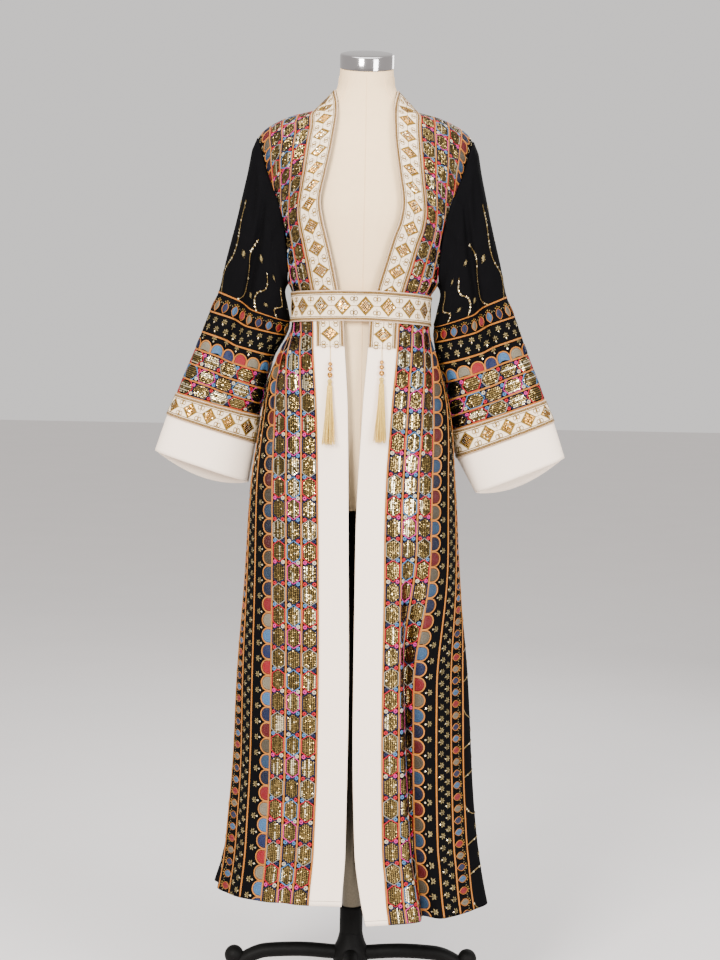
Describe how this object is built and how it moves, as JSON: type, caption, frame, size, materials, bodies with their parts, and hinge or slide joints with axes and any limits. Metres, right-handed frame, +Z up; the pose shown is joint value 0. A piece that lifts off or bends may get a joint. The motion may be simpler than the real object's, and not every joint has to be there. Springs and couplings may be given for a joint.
{
  "type": "open-front abaya on a dress form with stand",
  "caption": "Long open-front abaya with wide sleeves, belt, trimmed edges and tassel pendants, worn on a limbless dress form with a cast-iron stand.",
  "frame": {"origin": "centre of the box's foot, on the floor under the pole", "axes": "+Z up along the pole, the garment's front faces -Y, +X is the right of the front view"},
  "size_m": [0.7428, 0.51, 1.723],
  "materials": {
    "crepe": "matt black crepe with coloured and gold embroidery",
    "cream": "plain cream crepe",
    "diamond_trim": "cream ribbon with gold thread and sequin diamonds",
    "gold_thread": "pale gold silk",
    "gold_bead": "polished gold-coloured bead",
    "linen": "beige linen cover",
    "chrome": "polished",
    "pole": "dark bronzed tube",
    "iron": "black enamel"
  },
  "bodies": {
    "root": {"front_left": "crepe", "front_right": "crepe", "back": "crepe", "sleeve_left": "crepe", "sleeve_right": "crepe", "front_band_left": "cream", "front_band_right": "cream", "cuff_left": "cream", "cuff_right": "cream", "neck_trim_left": "diamond_trim", "neck_trim_right": "diamond_trim", "neck_trim_back": "diamond_trim", "cuff_trim_left": "diamond_trim", "cuff_trim_right": "diamond_trim", "belt": "diamond_trim", "cord_left": "gold_thread", "cord_right": "gold_thread", "bead_left_1": "gold_bead", "bead_left_2": "gold_bead", "bead_left_3": "gold_bead", "bead_right_1": "gold_bead", "bead_right_2": "gold_bead", "bead_right_3": "gold_bead", "tassel_left": "gold_thread", "tassel_right": "gold_thread", "form_torso": "linen", "neck_cap": "chrome", "pole_upper": "pole", "pole_lower": "iron", "base": "iron"}
  },
  "joints": []
}
